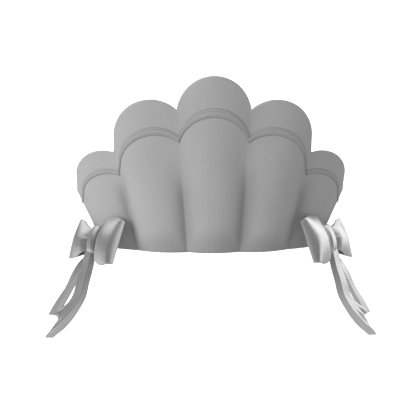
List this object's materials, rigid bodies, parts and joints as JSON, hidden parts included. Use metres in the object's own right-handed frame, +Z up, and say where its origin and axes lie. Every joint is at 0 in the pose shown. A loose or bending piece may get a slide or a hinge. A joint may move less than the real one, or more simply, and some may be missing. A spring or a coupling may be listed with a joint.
{
  "type": "maid headpiece",
  "caption": "Scalloped, fluted fan of stiff cloth worn upright on the brow, with a sewn tape below its edge and a satin bow with hanging swallow-tailed ribbons at each end.",
  "frame": {"origin": "middle of the head opening, level with the fan's lower edge", "axes": "+Z up, the front faces -Y, +X towards the wearer's left"},
  "size_m": [0.2436, 0.1075, 0.1879],
  "materials": {
    "cotton": "starched, matt",
    "tape": "woven tape, matt",
    "band": "plain, matt",
    "satin": "satin"
  },
  "bodies": {
    "root": {"scalloped_fan": "cotton", "scallop_tape": "tape", "head_band": "band", "left_bow_front_loop": "satin", "left_bow_rear_loop": "satin", "left_bow_knot": "satin", "left_bow_front_tail": "satin", "left_bow_rear_tail": "satin", "right_bow_front_loop": "satin", "right_bow_rear_loop": "satin", "right_bow_knot": "satin", "right_bow_front_tail": "satin", "right_bow_rear_tail": "satin"}
  },
  "joints": []
}
